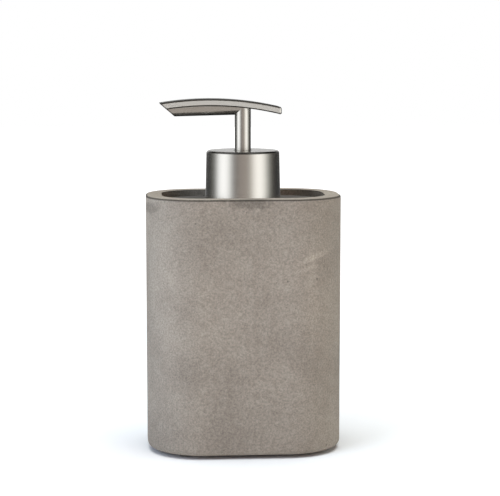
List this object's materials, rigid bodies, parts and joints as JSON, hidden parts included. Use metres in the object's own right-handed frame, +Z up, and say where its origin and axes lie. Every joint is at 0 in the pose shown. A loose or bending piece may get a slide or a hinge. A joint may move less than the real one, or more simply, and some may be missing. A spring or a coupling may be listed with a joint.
{
  "type": "soap pump dispenser",
  "caption": "Oval cast concrete soap dispenser with a lift-out inner bottle and a screw-on lotion pump with a brushed metal lever head.",
  "frame": {"origin": "middle of the footprint, on the surface that the feet stand on", "axes": "+Z up, +X to the right of the user, the spout points along -X and the front is -Y"},
  "size_m": [0.088, 0.06, 0.1592],
  "materials": {
    "concrete": "matte",
    "pad_rubber": "matte",
    "bottle_plastic": "matte",
    "brushed_metal": "satin",
    "white_plastic": "satin",
    "dark_plastic": "satin",
    "seal_plastic": "satin",
    "clear_plastic": "gloss",
    "gasket_foam": "matte",
    "spring_steel": "polished",
    "ball_steel": "polished"
  },
  "bodies": {
    "pot": {"concrete_body": "concrete", "foot_front_left": "pad_rubber", "foot_front_right": "pad_rubber", "foot_rear_left": "pad_rubber", "foot_rear_right": "pad_rubber"},
    "bottle": {"bottle_cup": "bottle_plastic", "bottle_deck": "bottle_plastic"},
    "pump": {"pump_cylinder": "white_plastic", "guide_bushing": "dark_plastic", "neck_gasket": "gasket_foam", "dip_tube": "clear_plastic", "valve_cage": "white_plastic", "return_spring": "spring_steel"},
    "collar": {"collar_shell": "brushed_metal", "threaded_closure": "white_plastic"},
    "piston": {"piston_seal": "seal_plastic"},
    "head": {"plunger_stem": "white_plastic", "piston_seat": "white_plastic", "head_core": "white_plastic", "stem_tube": "brushed_metal", "spout_tube": "brushed_metal", "nozzle_liner": "clear_plastic", "lever_plate": "brushed_metal"},
    "inlet_valve": {"inlet_ball": "ball_steel"},
    "outlet_valve": {"outlet_ball": "ball_steel"}
  },
  "joints": [
    {"name": "bottle_lift", "type": "slide", "parent": "pot", "child": "bottle", "axis": [0, 0, 1], "range_m": [0, 0.12]},
    {"name": "pump_rise", "type": "slide", "parent": "bottle", "child": "pump", "axis": [0, 0, 1], "range_m": [0, 0.0064]},
    {"name": "collar_turn", "type": "hinge", "parent": "pump", "child": "collar", "pos_m": [0, 0, 0.12], "axis": [0, 0, 1], "range_deg": [0, 540]},
    {"name": "head_press", "type": "slide", "parent": "pump", "child": "piston", "axis": [0, 0, -1], "range_m": [0, 0.012], "stiffness_N_per_m": 700, "springref_m": -0.008, "deforming": ["return_spring"]},
    {"name": "head_turn", "type": "hinge", "parent": "piston", "child": "head", "pos_m": [0, 0, 0.12], "axis": [0, 0, 1], "continuous": true},
    {"name": "inlet_ball_lift", "type": "slide", "parent": "pump", "child": "inlet_valve", "axis": [0, 0, 1], "range_m": [0, 0.0012]},
    {"name": "outlet_ball_lift", "type": "slide", "parent": "head", "child": "outlet_valve", "axis": [0, 0, 1], "range_m": [0, 0.0012]}
  ],
  "couplings": [
    {"joint": "pump_rise", "follows": "collar_turn", "m_per_rad": 0.0006737}
  ]
}
